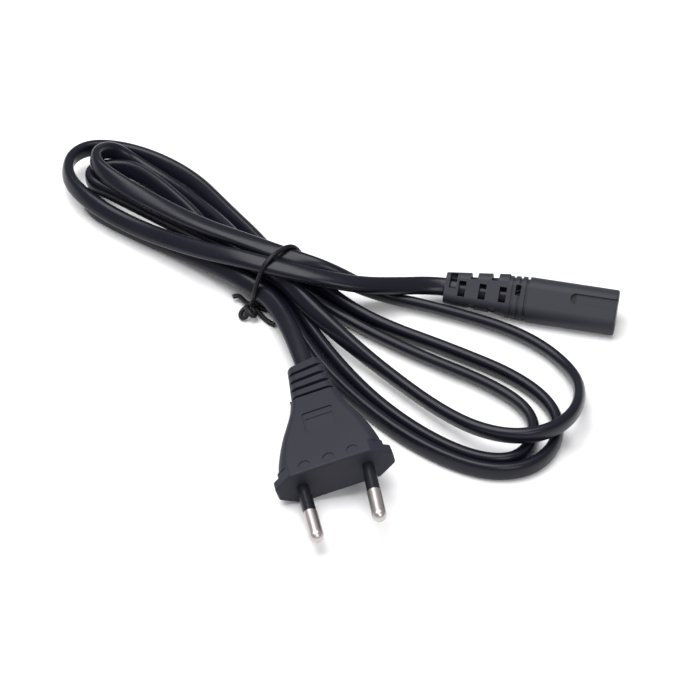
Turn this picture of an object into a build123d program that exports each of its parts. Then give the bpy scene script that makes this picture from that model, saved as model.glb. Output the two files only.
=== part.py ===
"""Two-pin mains lead with a figure-eight appliance connector, folded into a hank and tied.

Millimetres, +Z up, the hank lies on Z = 0. Right of the view is +X and away from it is +Y.
"""

import math
import os

from build123d import *

os.makedirs("parts", exist_ok=True)

# Flat two-core cord
CORD_WIDE = 5.4
CORD_THICK = 3.4
CORD_BEVEL = 1.2
CORE_R = 1.0
CORE_OFFSET = 1.05
LEAD_OUT = 7.0

# Plug: place and attitude, then sizes from the face backwards
PLUG_FACE = Vector(1.8, -62, 8.85)
PLUG_YAW = math.radians(10.8)
PLUG_ROLL = math.radians(15.5)
PLUG_LENGTH = 40.6
FLANGE_WIDE = 33.2
FLANGE_TALL = 11.9
FLANGE_FLAT = 22.8
FLANGE_TIP = 4.6
FLANGE_THICK = 2.8
FLANGE_CORNER = 1.0
FLANGE_EDGE = 0.7
RIM_DEPTH = 4.4
RIM_WIDE = 29.8
GRIP_SECTIONS = [
    (4.0, 29.2, 11.2, 3.4), (8.5, 27.6, 11.1, 3.2), (13, 24.8, 10.9, 3.0), (17.4, 21.2, 10.7, 2.8),
    (21, 17.8, 10.5, 2.6), (24.4, 15.2, 10.2, 2.4), (28, 13.6, 10, 2.4),
]
FLANGE_OUTLINE = [
    (FLANGE_WIDE / 2, FLANGE_TIP / 2), (FLANGE_FLAT / 2, FLANGE_TALL / 2),
    (-FLANGE_FLAT / 2, FLANGE_TALL / 2), (-FLANGE_WIDE / 2, FLANGE_TIP / 2),
    (-FLANGE_WIDE / 2, -FLANGE_TIP / 2), (-FLANGE_FLAT / 2, -FLANGE_TALL / 2),
    (FLANGE_FLAT / 2, -FLANGE_TALL / 2), (FLANGE_WIDE / 2, -FLANGE_TIP / 2),
]
RELIEF_START = 28.0
RELIEF_WIDE = 13.2
RELIEF_REAR_WIDE = 10.2
RELIEF_TALL = 9.4
RELIEF_SHIFT = -0.5
RELIEF_BEND = 4.0
RELIEF_TWIST = 4.0
GROOVE_PITCH = 3.15
GROOVE_WIDE = 1.2
GROOVE_DEEP = 1.2
NIB_R = 0.6
NIB_OUT = 0.5
RECESS_MIDDLE = 17.2
RECESS_WIDE = 8.8
RECESS_LONG = 7.6
RECESS_FLOOR = 4.9
RECESS_STEP = 1.8
PLACE_R = 1.7
PLACE_PITCH = 6.8
PLACE_BACK = 2.2

# Pins and their carrier
PIN_SPACING = 18.6
PIN_LEAN = 1.66
PIN_R = 2.0
PIN_LENGTH = 19.4
SHANK_R = 1.3
SLEEVE_R = 1.84
SLEEVE_LENGTH = 9.5
ROOT_R = 1.7
ROOT_LENGTH = 3.2
PIN_TAIL = 11.0
BRIDGE_WIDE = 25.0
BRIDGE_TALL = 6.6
BRIDGE_FRONT = 3.0
BRIDGE_BACK = 8.0

# Connector: place and attitude, then sizes from the face backwards
CONNECTOR_REAR = Vector(34, 15.5, 5.6)
CONNECTOR_YAW = math.radians(-12.5)
CONNECTOR_ROLL = math.radians(36)
CONNECTOR_LENGTH = 50.4
NOSE_WIDE = 13.4
NOSE_TALL = 7.8
NOSE_LENGTH = 26.0
RIB_PITCH = 2.0
RIB_THICK = 1.2
LADDER_LENGTH = 18.4
LADDER_WIDE = 12.2
LADDER_TALL = 7.4
LADDER_SHIFT = 0.4
LADDER_REAR_WIDE = 8.9
LADDER_REAR_TALL = 6.6
LADDER_REAR_SHIFT = -0.2
NOSE_EDGE = 0.5
RUNG_LENGTH = 2.1
SLOT_WIDE = 4.6
SLOT_SHIFT = -0.4
SLOT_FLOOR = 0.5
NOTCH_FLOOR = -2.6
WAIST_WIDE = 3.2
WAIST_SHIFT = 1.6
WAIST_DEEP = 0.6
WAIST_LENGTH = 12.0
INSERT_WIDE = 12.2
INSERT_TALL = 6.0
INSERT_LENGTH = 17.0
POLE_SPACING = 8.6
SOCKET_R = 1.25
SOCKET_MOUTH_R = 1.45
CONTACT_R = 1.6
CONTACT_FRONT = 2.0
CONTACT_BACK = 15.0
CONTACT_TAIL_R = 0.9
CONTACT_TAIL = 19.0

# Twist tie
TIE_R = 0.65

UP = Vector(0, 0, 1)

plug_ahead = Vector(math.sin(PLUG_YAW), -math.cos(PLUG_YAW), 0)
plug_level = Vector(math.cos(PLUG_YAW), math.sin(PLUG_YAW), 0)
plug_across = plug_level * math.cos(PLUG_ROLL) + UP * math.sin(PLUG_ROLL)
plug = Plane(origin=PLUG_FACE, x_dir=plug_across, z_dir=plug_ahead)
relief_end = Location((RELIEF_SHIFT, 0, -PLUG_LENGTH), (0, RELIEF_BEND, RELIEF_TWIST))
relief_rear = Plane(plug.location * relief_end)
plug_rear = relief_rear.origin

connector_ahead = Vector(math.cos(CONNECTOR_YAW), math.sin(CONNECTOR_YAW), 0)
connector_far = Vector(-math.sin(CONNECTOR_YAW), math.cos(CONNECTOR_YAW), 0)
connector_across = connector_far * math.cos(CONNECTOR_ROLL) + UP * math.sin(CONNECTOR_ROLL)
connector_face = CONNECTOR_REAR + connector_ahead * CONNECTOR_LENGTH
connector = Plane(origin=connector_face, x_dir=connector_across, z_dir=connector_ahead)
connector_plan = Plane(origin=connector_face, x_dir=connector.x_dir, z_dir=connector.y_dir)

# Route of the cord, from the connector through the tie and back until it reaches the plug
route = [
    # over the other strands to the tie
    CONNECTOR_REAR, CONNECTOR_REAR - connector_ahead * LEAD_OUT, (10, 11.5, 12.8), (-5, 12.5, 15.8),
    # through the tie on top, then the outermost loop on the left
    (-13.5, 15, 15.9), (-26, 21, 15.7), (-40, 28.2, 12.1), (-58, 41.5, 8.6), (-73, 52.5, 8.7),
    (-82, 63, 8.5), (-82, 74, 8.1), (-73, 80.5, 7.6), (-58, 77, 7.1), (-44, 64, 6.6), (-32, 47, 5.3),
    # low in the tie on the far side, to the inner loop on the right
    (-23.9, 26.3, 4.5), (-10.9, 20.3, 4.5), (5, 4.5, 3.3), (25, -9, 2.8), (46, -21.5, 2.8),
    (56.5, -32, 2.8), (57, -43, 2.8), (49, -50.5, 2.8), (34, -46, 2.8), (15, -28.5, 2.8), (-0.5, -6, 3.3),
    # low in the tie, to the middle loop on the left
    (-12.4, 16.6, 4.4), (-25.6, 22.4, 4.4), (-39, 47, 6.1), (-53, 61.5, 7.7), (-66, 73, 7.9),
    (-73.5, 74, 8.2), (-77.5, 68.5, 8.4), (-74, 59.5, 8.3), (-59, 47, 7.7), (-42, 34.5, 8.2),
    # in the middle of the tie, to the large loop on the right that lies over the others
    (-25.5, 22.5, 10.1), (-13, 16.5, 10.1), (-2, 3, 8.9), (15, -17, 4.6), (34, -39, 5.6),
    (49, -48, 8.5), (61, -45.5, 8.8), (69, -35, 8), (69.5, -18, 3.1), (57, -3, 2.8), (32, 8, 2.8),
    (12, 15.5, 4.1), (-0.5, 21, 13.6),
    # on top in the tie, to the upper loop on the left
    (-11.5, 19.5, 15.9), (-24, 25.5, 15.9), (-40, 33, 14.5), (-59, 47.5, 13.3),
    (-70, 59, 13.3), (-74, 65.5, 13.3), (-72.5, 71.5, 13.3), (-66.5, 72, 13.3), (-58, 65.5, 13.3),
    (-46, 53.5, 12.7), (-34, 40, 11.5),
    # on the far side in the tie, to the outer loop on the right
    (-24, 26, 10.1), (-11, 20.2, 10.2), (1, 15.2, 8.4), (16, 3, 3), (34, -6.6, 2.8), (54, -19, 2.8),
    (65, -32, 2.8), (65, -46.5, 2.8), (55, -56.5, 2.8), (39, -55, 2.8), (19, -40, 2.8), (-1, -13.5, 2.8),
    # low in the tie on the near side, to the lowest loop on the left
    (-14.8, 12.8, 4.4), (-27, 19, 4.4), (-37, 33, 2.8), (-51, 51, 2.8), (-64, 63.5, 2.8),
    (-71.5, 64, 2.8), (-76, 57.5, 2.8), (-70.5, 50.5, 2.8), (-54.5, 39, 2.8), (-39, 26, 6.3),
    # on the near side in the tie, to the plug
    (-27.5, 18.5, 10), (-15, 12.5, 10), (-13.5, 1, 9.3),
    plug_rear - relief_rear.z_dir * LEAD_OUT, plug_rear,
]


def bend_radii(points):
    """Radius of the bend at each inner point, so that it takes 0.45 of the shorter run beside it."""
    radii = []
    for before, here, after in zip(points, points[1:], points[2:]):
        run_in = Vector(here) - Vector(before)
        run_out = Vector(after) - Vector(here)
        half_turn = math.radians(run_in.get_angle(run_out)) / 2
        radii.append(0.45 * min(run_in.length, run_out.length) / math.tan(half_turn))
    return radii


cord_radii = bend_radii(route)
print("cord bend radii", [round(radius, 1) for radius in cord_radii])

with BuildPart() as cord:
    with BuildLine() as cord_path:
        FilletPolyline(*route, radius=cord_radii)
    cord_start = Plane(origin=CONNECTOR_REAR, x_dir=connector_far, z_dir=-connector_ahead)
    with BuildSketch(cord_start) as cord_section:
        Rectangle(CORD_THICK, CORD_WIDE)
        chamfer(cord_section.vertices(), length=CORD_BEVEL)
    sweep(path=cord_path.line)
cord.part.label = "cord"
export_step(cord.part, "parts/cord.step")
cord_length = sum(edge.length for edge in cord_path.edges())
print("cord length", round(cord_length, 1), "volume", round(cord.part.volume))
print("section by length", round(cord_section.sketch.area * cord_length))

# Plug

pin_nodes = {}
pin_planes = {}
for side, sign in (("left_pin", -1), ("right_pin", 1)):
    pin_root = Location((sign * PIN_SPACING / 2, 0, 0), (0, -sign * PIN_LEAN, 0))
    pin_planes[side] = Plane(plug.location * pin_root)
    with BuildPart() as pin:
        with BuildSketch(Plane(pin_planes[side].location * Location((0, 0, 0), (90, 0, 0)))):
            with BuildLine():
                Polyline(
                    (0, -PIN_TAIL), (SHANK_R, -PIN_TAIL), (SHANK_R, SLEEVE_LENGTH), (PIN_R, SLEEVE_LENGTH),
                    (PIN_R, PIN_LENGTH - PIN_R),
                )
                CenterArc((0, PIN_LENGTH - PIN_R), PIN_R, 0, 90)
                Line((0, PIN_LENGTH), (0, -PIN_TAIL))
            make_face()
        revolve(axis=Axis(pin_planes[side].origin, pin_planes[side].z_dir))
    pin.part.label = side
    export_step(pin.part, f"parts/{side}.step")
    pin_nodes[side] = pin.part

with BuildPart() as pin_bridge:
    with BuildSketch(plug.offset(-BRIDGE_BACK)):
        RectangleRounded(BRIDGE_WIDE, BRIDGE_TALL, 1.5)
    extrude(amount=BRIDGE_BACK - BRIDGE_FRONT)
    for side in pin_planes:
        with BuildSketch(pin_planes[side].offset(-BRIDGE_FRONT - 0.5)):
            Circle(ROOT_R)
        extrude(amount=BRIDGE_FRONT + 0.5 + SLEEVE_LENGTH)
        with BuildSketch(pin_planes[side].offset(ROOT_LENGTH)):
            Circle(SLEEVE_R)
        extrude(amount=SLEEVE_LENGTH - ROOT_LENGTH)
    for side in pin_planes:
        with BuildSketch(pin_planes[side].offset(-BRIDGE_BACK - 1)):
            Circle(SHANK_R)
        extrude(amount=BRIDGE_BACK + 1 + SLEEVE_LENGTH, mode=Mode.SUBTRACT)
pin_bridge.part.label = "pin_bridge"
export_step(pin_bridge.part, "parts/pin_bridge.step")

plug_core_nodes = []
for side, sign, name in (("left_pin", -1, "plug_brown_core"), ("right_pin", 1, "plug_blue_core")):
    tail = pin_planes[side].origin - pin_planes[side].z_dir * PIN_TAIL
    below_tail = tail - pin_planes[side].z_dir * 3
    core_route = [
        tail,
        below_tail,
        plug.from_local_coords((sign * 6, -sign * 0.5, -21)),
        relief_rear.from_local_coords((0, -sign * CORE_OFFSET, 8.6)),
        relief_rear.from_local_coords((0, -sign * CORE_OFFSET, 0)),
    ]
    with BuildPart() as core:
        with BuildLine() as core_path:
            FilletPolyline(*core_route, radius=bend_radii(core_route))
        with BuildSketch(Plane(origin=tail, z_dir=-pin_planes[side].z_dir)):
            Circle(CORE_R)
        sweep(path=core_path.line)
    core.part.label = name
    export_step(core.part, f"parts/{name}.step")
    plug_core_nodes.append(core.part)

with BuildPart() as plug_body:
    # grip: rounded sections from the rim back to the strain relief
    for back, wide, tall, corner in GRIP_SECTIONS:
        with BuildSketch(plug.offset(-back)):
            RectangleRounded(wide, tall, corner)
    loft()
    # strain relief, bent and twisted a little by the pull of the cord
    with BuildSketch(plug.offset(-RELIEF_START)):
        RectangleRounded(RELIEF_WIDE, RELIEF_TALL, 2.6)
    with BuildSketch(relief_rear):
        RectangleRounded(RELIEF_REAR_WIDE, RELIEF_TALL - 0.6, 2.4)
    loft()
    # rim and flange
    with BuildSketch(plug.offset(-RIM_DEPTH)) as rim:
        Polygon(*FLANGE_OUTLINE, align=None)
        Rectangle(RIM_WIDE, FLANGE_TALL, mode=Mode.INTERSECT)
        fillet(rim.vertices(), radius=FLANGE_CORNER)
    extrude(amount=RIM_DEPTH)
    with BuildSketch(plug) as flange:
        Polygon(*FLANGE_OUTLINE, align=None)
        fillet(flange.vertices(), radius=FLANGE_CORNER)
    extrude(amount=-FLANGE_THICK)
    front = plug_body.faces().sort_by(Axis(plug.origin, plug.z_dir))[-1]
    fillet(front.edges(), radius=FLANGE_EDGE)
    # strain relief grooves over and under, turned with the bend
    for top in (1, -1):
        for i in range(4):
            back = RELIEF_START + 0.1 + GROOVE_PITCH * i
            share = (back - RELIEF_START) / (PLUG_LENGTH - RELIEF_START)
            turn = (0, RELIEF_BEND * share, RELIEF_TWIST * share)
            turned = Location((RELIEF_SHIFT * share, 0, -back), turn)
            over = Location((0, top * RELIEF_TALL / 2, 0), (-top * 90, 0, 0))
            with BuildSketch(Plane(plug.location * turned * over)):
                Rectangle(RELIEF_WIDE + 2, GROOVE_WIDE)
            extrude(amount=GROOVE_DEEP, both=True, mode=Mode.SUBTRACT)
    # mould nib on the left of the relief
    with BuildSketch(Plane(plug.location * Location((0, 1.2, -RELIEF_START - 1.6), (0, -90, 0)))):
        Circle(NIB_R)
    extrude(amount=RELIEF_WIDE / 2 + NIB_OUT)
    # bare label recess with a shallow step at its rear, and three bare round places on the rim
    with BuildSketch(Plane(plug.location * Location((0, RECESS_FLOOR, -RECESS_MIDDLE), (-90, 0, 0)))):
        RectangleRounded(RECESS_WIDE, RECESS_LONG, 0.8)
    extrude(amount=2, mode=Mode.SUBTRACT)
    with BuildSketch(Plane(plug.location * Location((0, RECESS_FLOOR - 0.2, -RECESS_MIDDLE), (-90, 0, 0)))):
        with Locations((0, -RECESS_STEP / 2)):
            Rectangle(RECESS_WIDE - 1, RECESS_LONG - RECESS_STEP - 0.6)
    extrude(amount=1, mode=Mode.SUBTRACT)
    with BuildSketch(Plane(plug.location * Location((0, FLANGE_TALL / 2, -PLACE_BACK), (-90, 0, 0)))):
        with GridLocations(PLACE_PITCH, 1, 3, 1):
            Circle(PLACE_R)
    extrude(amount=-0.25, mode=Mode.SUBTRACT)
    add(pin_bridge.part, mode=Mode.SUBTRACT)
    for inner in [*pin_nodes.values(), *plug_core_nodes]:
        add(inner, mode=Mode.SUBTRACT)
plug_body.part.label = "plug_body"
export_step(plug_body.part, "parts/plug_body.step")

# Connector

contact_nodes = []
for sign, name in ((-1, "near_contact"), (1, "far_contact")):
    with BuildPart() as contact:
        with BuildSketch(connector.offset(-CONTACT_BACK)):
            with Locations((sign * POLE_SPACING / 2, 0)):
                Circle(CONTACT_R)
        extrude(amount=CONTACT_BACK - CONTACT_FRONT)
        with BuildSketch(connector.offset(-CONTACT_BACK + 1)):
            with Locations((sign * POLE_SPACING / 2, 0)):
                Circle(SOCKET_R)
        extrude(amount=CONTACT_BACK, mode=Mode.SUBTRACT)
        with BuildSketch(connector.offset(-CONTACT_TAIL)):
            with Locations((sign * POLE_SPACING / 2, 0)):
                Circle(CONTACT_TAIL_R)
        extrude(amount=CONTACT_TAIL - CONTACT_BACK)
    contact.part.label = name
    export_step(contact.part, f"parts/{name}.step")
    contact_nodes.append(contact.part)

with BuildPart() as connector_insert:
    with BuildSketch(connector.offset(-INSERT_LENGTH)):
        SlotOverall(INSERT_WIDE, INSERT_TALL)
    extrude(amount=INSERT_LENGTH)
    with BuildSketch(connector):
        with GridLocations(POLE_SPACING, 1, 2, 1):
            Circle(SOCKET_MOUTH_R)
    extrude(amount=-CONTACT_FRONT, mode=Mode.SUBTRACT)
    with BuildSketch(connector.offset(-CONTACT_FRONT)):
        with GridLocations(POLE_SPACING, 1, 2, 1):
            Circle(CONTACT_R)
    extrude(amount=CONTACT_FRONT - CONTACT_BACK, mode=Mode.SUBTRACT)
    with BuildSketch(connector.offset(-CONTACT_BACK)):
        with GridLocations(POLE_SPACING, 1, 2, 1):
            Circle(CONTACT_TAIL_R)
    extrude(amount=CONTACT_BACK - INSERT_LENGTH, mode=Mode.SUBTRACT)
connector_insert.part.label = "connector_insert"
export_step(connector_insert.part, "parts/connector_insert.step")

connector_core_nodes = []
for sign, name in ((-1, "connector_brown_core"), (1, "connector_blue_core")):
    tail = connector.from_local_coords((sign * POLE_SPACING / 2, 0, -CONTACT_TAIL))
    core_route = [
        tail,
        tail - connector_ahead * 3,
        connector.from_local_coords((sign * CORE_OFFSET, 0, LADDER_LENGTH - CONNECTOR_LENGTH)),
        connector.from_local_coords((sign * CORE_OFFSET, 0, -CONNECTOR_LENGTH)),
    ]
    with BuildPart() as core:
        with BuildLine() as core_path:
            FilletPolyline(*core_route, radius=bend_radii(core_route))
        with BuildSketch(Plane(origin=tail, z_dir=-connector_ahead)):
            Circle(CORE_R)
        sweep(path=core_path.line)
    core.part.label = name
    export_step(core.part, f"parts/{name}.step")
    connector_core_nodes.append(core.part)

with BuildPart() as connector_jacket:
    with BuildSketch(connector.offset(-CONNECTOR_LENGTH)):
        Ellipse(CORD_WIDE / 2, CORD_THICK / 2)
    extrude(amount=LADDER_LENGTH)
    for inner in connector_core_nodes:
        add(inner, mode=Mode.SUBTRACT)
connector_jacket.part.label = "connector_jacket"
export_step(connector_jacket.part, "parts/connector_jacket.step")

with BuildPart() as connector_body:
    # smooth nose
    with BuildSketch(connector.offset(-NOSE_LENGTH)):
        SlotOverall(NOSE_WIDE, NOSE_TALL)
    extrude(amount=NOSE_LENGTH)
    face = connector_body.faces().sort_by(Axis(connector.origin, connector.z_dir))[-1]
    fillet(face.edges(), radius=NOSE_EDGE)
    # neck with three ring ribs
    with BuildSketch(connector.offset(LADDER_LENGTH - CONNECTOR_LENGTH)):
        SlotOverall(NOSE_WIDE - 1.6, NOSE_TALL - 1.2)
    extrude(amount=CONNECTOR_LENGTH - LADDER_LENGTH - NOSE_LENGTH)
    for i in range(3):
        with BuildSketch(connector.offset(-NOSE_LENGTH - 0.9 - RIB_THICK - RIB_PITCH * i)):
            SlotOverall(NOSE_WIDE - 0.3 - 0.3 * i, NOSE_TALL - 0.1 - 0.1 * i)
        extrude(amount=RIB_THICK)
    # ladder strain relief
    with BuildSketch(connector.offset(-CONNECTOR_LENGTH)):
        with Locations((LADDER_REAR_SHIFT, 0)):
            RectangleRounded(LADDER_REAR_WIDE, LADDER_REAR_TALL, 2.2)
    with BuildSketch(connector.offset(LADDER_LENGTH - CONNECTOR_LENGTH)):
        with Locations((LADDER_SHIFT, 0)):
            RectangleRounded(LADDER_WIDE, LADDER_TALL, 2.8)
    loft()
    # notches at the sides, deep on the far side and shallow on the near one
    with BuildSketch(connector_plan.offset(NOTCH_FLOOR)):
        with Locations((4.9, CONNECTOR_LENGTH - 8.2), (5.4, CONNECTOR_LENGTH - 14.3)):
            Rectangle(4, RUNG_LENGTH)
        with Locations((-6.3, CONNECTOR_LENGTH - 8.2), (-6.6, CONNECTOR_LENGTH - 14.3)):
            Rectangle(4, RUNG_LENGTH)
    extrude(amount=NOSE_TALL, mode=Mode.SUBTRACT)
    for top in (1, -1):
        # slots down to the jacket
        slot_floor = Location((0, top * SLOT_FLOOR, 0), (-top * 90, 0, 0))
        with BuildSketch(Plane(connector.location * slot_floor)):
            with Locations((1.7, top * (CONNECTOR_LENGTH - 2.3))):
                Rectangle(SLOT_WIDE, RUNG_LENGTH)
            with Locations(*[(SLOT_SHIFT, top * (CONNECTOR_LENGTH - at)) for at in (5.1, 11.1, 17.1)]):
                Rectangle(SLOT_WIDE, RUNG_LENGTH)
            with Locations((1.6, top * (CONNECTOR_LENGTH - 21.4))):
                Rectangle(3.2, 1.5)
        extrude(amount=NOSE_TALL, mode=Mode.SUBTRACT)
        # waist groove that ends in a half-round pit
        groove_floor = Location((0, top * (NOSE_TALL / 2 - WAIST_DEEP), 0), (-top * 90, 0, 0))
        with BuildSketch(Plane(connector.location * groove_floor)):
            with Locations((WAIST_SHIFT, top * WAIST_LENGTH / 2)):
                Rectangle(WAIST_WIDE, WAIST_LENGTH)
        extrude(amount=2, mode=Mode.SUBTRACT)
        pit_floor = Location((0, top * (NOSE_TALL / 2 - 2 * WAIST_DEEP), 0), (-top * 90, 0, 0))
        with BuildSketch(Plane(connector.location * pit_floor)):
            with Locations((WAIST_SHIFT, top * WAIST_LENGTH)):
                Circle(WAIST_WIDE / 2)
            with Locations((WAIST_SHIFT, top * (WAIST_LENGTH - WAIST_WIDE))):
                Rectangle(2 * WAIST_WIDE, 2 * WAIST_WIDE, mode=Mode.SUBTRACT)
        extrude(amount=3, mode=Mode.SUBTRACT)
    # pocket of the insert, with the ways of the contact tails, the cores and the jacket behind it
    with BuildSketch(connector):
        SlotOverall(INSERT_WIDE, INSERT_TALL)
    extrude(amount=-INSERT_LENGTH, mode=Mode.SUBTRACT)
    for inner in [*contact_nodes, *connector_core_nodes, connector_jacket.part]:
        add(inner, mode=Mode.SUBTRACT)
connector_body.part.label = "connector_body"
export_step(connector_body.part, "parts/connector_body.step")

# Twist tie: from the left tail up the near side, over the hank, under it and out to the right tail

tie = Plane(origin=(-18.8, 20.2, 0), x_dir=(0.906, -0.423, 0), z_dir=(0, 0, 1))
tie_route = [
    tie.from_local_coords(point)
    for point in [
        (-6.8, -9.8, 1.6), (-3.6, -10.4, 1.8), (-0.9, -9.6, 2.4), (-0.3, -8.2, 6.4), (0.8, -8.4, 10),
        (1.8, -7, 13.6), (2.9, -5.3, 16), (4.1, -4.3, 18.9), (5.6, -1.6, 19.8), (6.5, 3.2, 19.6),
        (7.4, 6, 17.4), (8.2, 6.8, 12.6), (7.8, 6.6, 7), (6.2, 6.1, 2.2), (4.6, 2.8, 0.7), (2, -3, 0.7),
        (1, -7.5, 0.75), (2.2, -10, 1), (4.8, -11.8, 1.2), (7.2, -12.8, 1), (9.6, -13.4, 0.8),
    ]
]
tie_radii = bend_radii(tie_route)
with BuildPart() as twist_tie:
    with BuildLine() as tie_path:
        FilletPolyline(*tie_route, radius=tie_radii)
    with BuildSketch(Plane(origin=tie_route[0], z_dir=tie_route[1] - tie_route[0])):
        RegularPolygon(TIE_R, 8)
    sweep(path=tie_path.line)
twist_tie.part.label = "twist_tie"
export_step(twist_tie.part, "parts/twist_tie.step")
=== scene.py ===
import math

import bpy
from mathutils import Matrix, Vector


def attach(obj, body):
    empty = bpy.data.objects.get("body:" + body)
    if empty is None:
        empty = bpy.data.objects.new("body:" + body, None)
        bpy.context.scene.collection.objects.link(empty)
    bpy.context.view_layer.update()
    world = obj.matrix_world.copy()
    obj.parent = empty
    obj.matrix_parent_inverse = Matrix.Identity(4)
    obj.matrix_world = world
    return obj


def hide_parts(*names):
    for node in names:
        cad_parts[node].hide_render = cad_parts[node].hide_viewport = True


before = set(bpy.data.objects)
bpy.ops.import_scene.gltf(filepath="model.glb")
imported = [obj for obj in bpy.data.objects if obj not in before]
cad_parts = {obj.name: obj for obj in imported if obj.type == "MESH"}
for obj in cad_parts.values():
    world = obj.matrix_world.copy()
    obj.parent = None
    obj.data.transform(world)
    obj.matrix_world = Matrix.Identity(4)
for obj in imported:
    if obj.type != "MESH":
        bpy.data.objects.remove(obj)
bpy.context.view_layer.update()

# Cord: a flat two-core lead, black PVC extruded over two stranded copper cores.
# It is moulded into the connector at one end and into the plug at the other, and is
# folded to and fro seven times, standing on its narrow edge where it turns.
mm = 0.001
jacket_wide = 5.4
jacket_thick = 3.4
jacket_fullness = 0.78
section_steps = 28
# x, y, z in millimetres and the lean of the flat in degrees, from the connector to the plug
cord_line = [
    # over the other strands to the tie
    (34, 15.5, 5.6, 54), (29.6, 16.1, 5.7, 60), (20, 13.4, 8, 72), (8, 9.6, 12, 82),
    (-5, 10.3, 14.9, 82),
    # through the tie on top, then the outermost loop on the left
    (-13.5, 13, 15, 73), (-26, 18.5, 14.2, 61), (-40, 26.7, 10.6, 48), (-58, 39.9, 6.4, 36),
    (-72.2, 49.6, 7.9, 34), (-80.5, 61.1, 7.6, 18), (-80.4, 71.2, 7.9, 8), (-73, 77.3, 7.2, 0),
    (-58, 74.9, 5.8, -24), (-42.4, 64.1, 5.4, -38), (-31.2, 48.4, 5.2, -42),
    (-20.2, 34.1, 4.8, -34),
    # low in the tie on the far side, to the inner loop on the right
    (-11, 19, 3.9, 8), (4.4, 4.6, 2.8, 25), (25, -9.5, 2.8, 36), (46, -21.3, 2.8, 38),
    (56.7, -32, 2.8, 20), (57, -43.8, 2.8, 0), (49.5, -52.3, 2.8, 0), (34, -47.9, 2.8, 0),
    (14.3, -30.9, 2.8, 0), (-2.3, -6.8, 3.2, 0),
    # low in the tie, to the middle loop on the left
    (-12.8, 16.2, 4.3, 0), (-25.6, 22.4, 4.3, 0), (-39.2, 42.5, 6.9, 26), (-50.6, 55.8, 8.2, 36),
    (-60, 65.2, 7.9, 34), (-66.4, 67.5, 6.7, 16), (-71.1, 66.6, 7, 6), (-73.5, 62.7, 8.1, 2),
    (-72.5, 58.5, 8.3, 0), (-69, 55.9, 8.2, 0), (-58, 48.4, 7.8, 0), (-42, 36.4, 8.2, 0),
    # in the middle of the tie, to the large loop on the right that lies over the others
    (-25.5, 22.2, 10.3, 0), (-14, 15.2, 9.8, -25), (-5.4, 2.4, 9.2, -42), (12.2, -15.2, 5.2, 6),
    (34, -38.3, 6, 15), (49, -47.6, 8.6, 12), (62, -45.2, 8.8, 4), (70, -35, 8, 0),
    (70.5, -17.6, 3.1, -20), (57.2, -1.4, 2.8, -36), (32, 9.5, 2.8, -38), (14, 14.6, 3, -26),
    (0, 14.6, 12.9, 20),
    # on top in the tie, to the upper loop on the left
    (-11.5, 18.1, 14.9, 72), (-24, 24.6, 15.1, 86), (-40, 33.6, 14.3, 88), (-57.5, 47.4, 13.3, 68),
    (-67.6, 56.2, 13.5, 34), (-71.5, 61.7, 13.6, 16), (-71.3, 67.2, 13, 2),
    (-66.9, 71.9, 10.4, -18), (-60.4, 70.2, 6, -30), (-48.9, 61.4, 4.6, -32), (-33.4, 43, 6.5, -26),
    # on the far side in the tie, to the outer loop on the right
    (-24, 25.8, 9.9, 0), (-12, 20.4, 9.6, 0), (-2.6, 13.3, 8.3, 10), (5, 8.2, 5, 16),
    (16, 1.9, 2.9, 20), (34, -7.4, 2.8, 14), (54, -19.2, 2.8, 12), (64, -31.8, 2.8, 8),
    (63.2, -45.2, 2.8, 0), (54, -54.8, 2.8, 4), (38.5, -54.2, 2.8, 6), (17.6, -39.8, 2.8, 6),
    (-3.2, -14.4, 2.8, 4),
    # low in the tie on the near side, to the lowest loop on the left
    (-15.4, 13.2, 4.2, 16), (-27, 19.8, 4.2, 16), (-37.4, 32.8, 2.8, 0), (-48.5, 50.4, 2.8, 14),
    (-60.5, 61.8, 2.8, 8), (-67.2, 64.5, 2.8, 0), (-72, 62.4, 2.8, -4), (-74, 58.1, 2.8, -12),
    (-72.4, 53.2, 2.8, -25), (-66.9, 48.4, 2.7, -32), (-54, 39.7, 2.7, -37), (-39, 28.2, 5.2, -40),
    # on the near side in the tie, to the plug
    (-27, 17.4, 8, -42), (-19.6, 11.8, 7.2, -46), (-15, 4.4, 7.6, -54), (-11.2, -5, 8.2, -66),
    (-8.05, -15.44, 8.6, -74), (-6.28, -22.21, 8.72, -74),
]

section_curve = bpy.data.curves.new("jacket_section", "CURVE")
section_curve.dimensions = "2D"
section_curve.fill_mode = "NONE"
section_spline = section_curve.splines.new("POLY")
section_points = []
for step in range(section_steps):
    turn = math.radians(360 / section_steps * step)
    across, along = math.cos(turn), math.sin(turn)
    section_points.append(
        (
            math.copysign(abs(across) ** jacket_fullness, across) * jacket_thick / 2,
            math.copysign(abs(along) ** jacket_fullness, along) * jacket_wide / 2,
        )
    )
section_spline.points.add(len(section_points) - 1)
for point, (x, y) in zip(section_spline.points, section_points):
    point.co = (x * mm, y * mm, 0, 1)
section_spline.use_cyclic_u = True
section = bpy.data.objects.new("jacket_section", section_curve)


def drawn_line(name, places, steps):
    """A smooth line drawn by points in millimetres, with so many steps to a point."""
    curve = bpy.data.curves.new(name, "CURVE")
    curve.dimensions = "3D"
    curve.resolution_u = steps
    curve.use_fill_caps = True
    spline = curve.splines.new("NURBS")
    spline.points.add(len(places) - 1)
    for point, (x, y, z) in zip(spline.points, places):
        point.co = (x * mm, y * mm, z * mm, 1)
    spline.order_u = 3
    spline.use_endpoint_u = True
    drawn = bpy.data.objects.new(name, curve)
    bpy.context.collection.objects.link(drawn)
    return drawn


def mesh_of(drawn):
    """The mesh of a drawn line as it stands, with its section if it has one."""
    bpy.context.view_layer.update()
    return bpy.data.meshes.new_from_object(drawn.evaluated_get(bpy.context.evaluated_depsgraph_get()))


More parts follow.
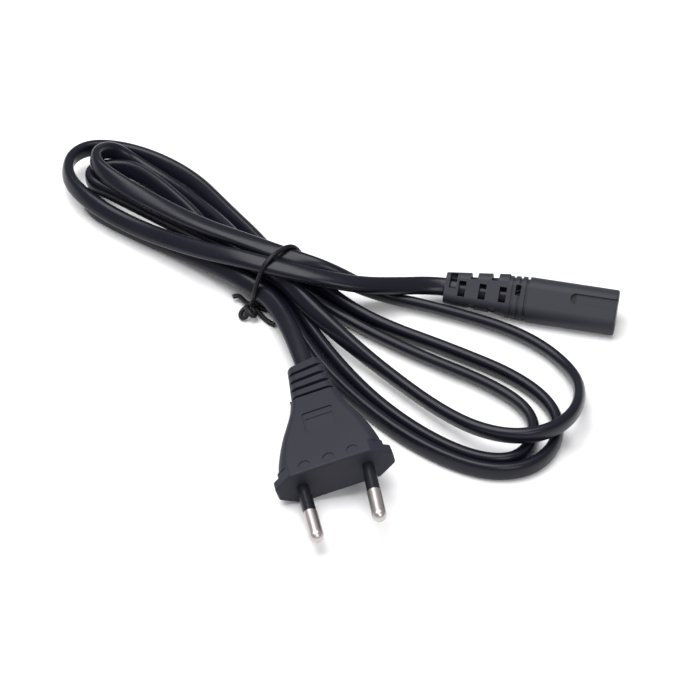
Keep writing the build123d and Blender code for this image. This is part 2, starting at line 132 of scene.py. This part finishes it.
def covered(name, drawn):
    """The smooth piece that a drawn line stands for, in the line's place."""
    mesh = mesh_of(drawn)
    mesh.name = name
    mesh.materials.clear()
    mesh.polygons.foreach_set("use_smooth", [True] * len(mesh.polygons))
    bpy.data.objects.remove(drawn)
    piece = bpy.data.objects.new(name, mesh)
    bpy.context.collection.objects.link(piece)
    return piece


line = drawn_line("cord_line", [(x, y, z) for x, y, z, lean in cord_line], 12)
line.data.twist_mode = "Z_UP"
for point, (x, y, z, lean) in zip(line.data.splines[0].points, cord_line):
    point.tilt = math.radians(lean)
cord_path = [vertex.co.copy() for vertex in mesh_of(line).vertices]
line.data.bevel_mode = "OBJECT"
line.data.bevel_object = section
cord = covered("cord_jacket", line)
bpy.data.objects.remove(section)


def moulded(name, colour, roughness, grain, depth, metal=0.0):
    """A surface of uneven colour and sheen, with a fine grain of a depth in metres."""
    uneven_colour = 0.16
    uneven_sheen = 0.07
    surface = bpy.data.materials.new(name)
    surface.use_nodes = True
    nodes, links = surface.node_tree.nodes, surface.node_tree.links
    shader = nodes["Principled BSDF"]
    shader.inputs["Metallic"].default_value = metal
    shader.inputs["Specular IOR Level"].default_value = 0.22
    place = nodes.new("ShaderNodeTexCoord")
    cloud = nodes.new("ShaderNodeTexNoise")
    cloud.inputs["Scale"].default_value = 90
    cloud.inputs["Detail"].default_value = 4
    links.new(place.outputs["Object"], cloud.inputs["Vector"])
    shade = nodes.new("ShaderNodeMix")
    shade.data_type = "RGBA"
    shade.inputs["A"].default_value = [c * (1 - uneven_colour) for c in colour] + [1]
    shade.inputs["B"].default_value = [c * (1 + uneven_colour) for c in colour] + [1]
    links.new(cloud.outputs["Fac"], shade.inputs["Factor"])
    links.new(shade.outputs["Result"], shader.inputs["Base Color"])
    sheen = nodes.new("ShaderNodeMapRange")
    sheen.inputs["To Min"].default_value = roughness - uneven_sheen
    sheen.inputs["To Max"].default_value = roughness + uneven_sheen
    links.new(cloud.outputs["Fac"], sheen.inputs["Value"])
    links.new(sheen.outputs["Result"], shader.inputs["Roughness"])
    fine = nodes.new("ShaderNodeTexNoise")
    fine.inputs["Scale"].default_value = grain
    fine.inputs["Detail"].default_value = 3
    links.new(place.outputs["Object"], fine.inputs["Vector"])
    bump = nodes.new("ShaderNodeBump")
    bump.inputs["Strength"].default_value = 0.35
    bump.inputs["Distance"].default_value = depth
    links.new(fine.outputs["Fac"], bump.inputs["Height"])
    links.new(bump.outputs["Normal"], shader.inputs["Normal"])
    return surface


cord_pvc = moulded("cord_pvc", (0.006, 0.006, 0.012), 0.28, 700, 0.00004)
cord.data.materials.append(cord_pvc)
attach(cord, "root")
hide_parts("cord")

# Plug pins: two turned brass pins, nickel plated, with rounded ends. They lean towards
# each other and are pressed through the moulded bridge that carries their sleeves.
pin_nickel = moulded("pin_nickel", (0.50, 0.455, 0.45), 0.36, 1500, 0.00002, metal=1.0)


def dress(node, surface):
    """Gives a piece of the part its one surface."""
    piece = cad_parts[node]
    piece.data.materials.clear()
    piece.data.materials.append(surface)
    return piece


left_pin = dress("left_pin", pin_nickel)
right_pin = dress("right_pin", pin_nickel)

# Pin bridge: one glossy black nylon moulding inside the plug, which holds the pins apart
# and covers the half of each pin next to the plug's face with an insulating sleeve.
sleeve_nylon = moulded("sleeve_nylon", (0.009, 0.009, 0.013), 0.28, 900, 0.00002)
pin_bridge = dress("pin_bridge", sleeve_nylon)

# Cores in the plug: two stranded copper cores, one in a brown and one in a blue sheath,
# which leave the cord's jacket inside the plug and are crimped to the pins.
brown_sheath = moulded("brown_sheath", (0.04, 0.018, 0.009), 0.4, 900, 0.00002)
blue_sheath = moulded("blue_sheath", (0.004, 0.008, 0.027), 0.4, 900, 0.00002)
dress("plug_brown_core", brown_sheath)
dress("plug_blue_core", blue_sheath)

# Plug body: black PVC with a fine matte grain, moulded in one shot round the bridge, the
# cores and the cord's end, with a flange, a waisted grip and a ribbed strain relief.
plug_pvc = moulded("plug_pvc", (0.0155, 0.0155, 0.025), 0.52, 2600, 0.00008)
plug_body = dress("plug_body", plug_pvc)

# Connector contacts: two sleeves rolled from brass strip, pressed into the insert's bores.
# They take the two pins of an appliance inlet.
contact_brass = moulded("contact_brass", (0.7, 0.52, 0.26), 0.3, 900, 0.00002, metal=1.0)
dress("near_contact", contact_brass)
dress("far_contact", contact_brass)

# Connector insert: a hard black nylon block with two bores, which keeps the contacts in
# place while the connector's body is moulded round it.
insert_nylon = moulded("insert_nylon", (0.010, 0.010, 0.012), 0.4, 1500, 0.00003)
dress("connector_insert", insert_nylon)

# Cores and jacket end in the connector: the cord's end, which shows through the slots of
# the strain relief, with its brown and blue cores crimped to the contacts.
dress("connector_jacket", cord_pvc)
dress("connector_brown_core", brown_sheath)
dress("connector_blue_core", blue_sheath)

# Connector body: black PVC like the plug's, moulded round the insert and the cord's end,
# a smooth figure-eight nose, a waist and a ladder of open slots towards the cord.
connector_pvc = moulded("connector_pvc", (0.022, 0.022, 0.031), 0.5, 2600, 0.00008)
dress("connector_body", connector_pvc)

# Twist tie: a soft iron wire in a round black PVC coat, wound once round the middle of
# the hank and twisted on its near side into a curl and a small eye, with a tail to each side.
tie_thick = 1.45
tie_line = [
    # the left tail, to the twist
    (-28.5, 15.1, 2.0), (-27, 15.7, 2.0), (-26, 14.5, 2.2), (-24.8, 12.6, 2.2), (-23.7, 11.3, 2.7),
    (-22.7, 10.8, 3.4),
    # up the near side, over the top and down the far side
    (-22.4, 10.6, 4.6), (-22.1, 9.8, 7.6), (-21.3, 11.1, 10.6), (-19.9, 12.4, 14.5),
    (-18.6, 13.7, 16.6), (-16.5, 15.6, 18.0), (-13.7, 18.6, 18.0), (-11.3, 20.5, 17.3),
    (-9.6, 21.4, 15.4), (-8.4, 22.4, 12.0), (-7.6, 22.6, 7.0), (-8.0, 22.0, 2.0),
    # under the hank and back to the twist
    (-11, 18.6, 0.8), (-15, 13, 0.8), (-18.6, 10.4, 0.85), (-20.4, 11.2, 1.3), (-21.8, 12.8, 1.9),
    (-23.2, 12.6, 1.8),
    # the curl, the small eye and the right tail
    (-24.2, 11.4, 1.5), (-25.6, 10.2, 1.1), (-26.2, 8.6, 0.9), (-25.6, 7.1, 0.9), (-24.3, 7.1, 1.4),
    (-23.9, 8.2, 2.4), (-24.3, 9.4, 3.1), (-23.5, 7.5, 3.1), (-22.8, 6.4, 2.7), (-21.8, 6.7, 2.3),
    (-21.7, 8.2, 2.2), (-22.7, 10.0, 2.4), (-21.9, 10.9, 1.5), (-20.6, 9.3, 0.95),
    (-19.2, 7.3, 0.8), (-17.6, 5.4, 0.8), (-16.1, 4.5, 0.8),
]
wire = drawn_line("tie_line", tie_line, 8)
wire.data.bevel_depth = tie_thick / 2 * mm
wire.data.bevel_resolution = 4
tie = covered("twist_tie_wire", wire)
tie.data.materials.append(moulded("tie_pvc", (0.006, 0.006, 0.009), 0.36, 900, 0.00003))
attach(tie, "root")
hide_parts("twist_tie")

# Floor: a plain white table top, for the picture only.
floor_half = 4
floor_corners = [
    (side_x * floor_half, side_y * floor_half, 0)
    for side_x, side_y in ((-1, -1), (1, -1), (1, 1), (-1, 1))
]
floor_mesh = bpy.data.meshes.new("floor")
floor_mesh.from_pydata(floor_corners, [], [(0, 1, 2, 3)])
floor = bpy.data.objects.new("floor", floor_mesh)
bpy.context.collection.objects.link(floor)
floor_mesh.materials.append(moulded("white_table", (0.86, 0.86, 0.87), 0.85, 300, 0.00001))

# Light: a dim white room and two soft lamps, the larger one above on the left.
world = bpy.data.worlds.new("white_room")
bpy.context.scene.world = world
world.use_nodes = True
world.node_tree.nodes["Background"].inputs["Color"].default_value = (1, 1, 1, 1)
world.node_tree.nodes["Background"].inputs["Strength"].default_value = 0.42
for name, place, size, watts in (
    ("top_softbox", (-0.24, 0.10, 0.98), 0.9, 15),
    ("front_softbox", (0.30, -0.85, 0.80), 0.5, 4.2),
):
    light = bpy.data.lights.new(name, "AREA")
    light.size = size
    light.energy = watts
    lamp = bpy.data.objects.new(name, light)
    lamp.location = place
    lamp.rotation_euler = (Vector((0, 0, 0)) - Vector(place)).to_track_quat("-Z", "Y").to_euler()
    bpy.context.collection.objects.link(lamp)
bpy.context.scene.view_settings.view_transform = "Standard"

# Camera: it looks down at the middle of the hank by 45 degrees, through a long lens.
target = Vector((0.003, -0.001, 0.0001))
tilt = math.radians(45)
camera_away = 0.72
picture_wide = 680
lens_in_pixels = 2484
camera_data = bpy.data.cameras.new("camera")
camera_data.sensor_width = 36
camera_data.lens = camera_data.sensor_width * lens_in_pixels / picture_wide
camera_data.clip_start = 0.01
camera = bpy.data.objects.new("camera", camera_data)
camera.location = target + camera_away * Vector((0, -math.cos(tilt), math.sin(tilt)))
camera.rotation_euler = (math.radians(90) - tilt, 0, 0)
bpy.context.collection.objects.link(camera)
bpy.context.scene.camera = camera
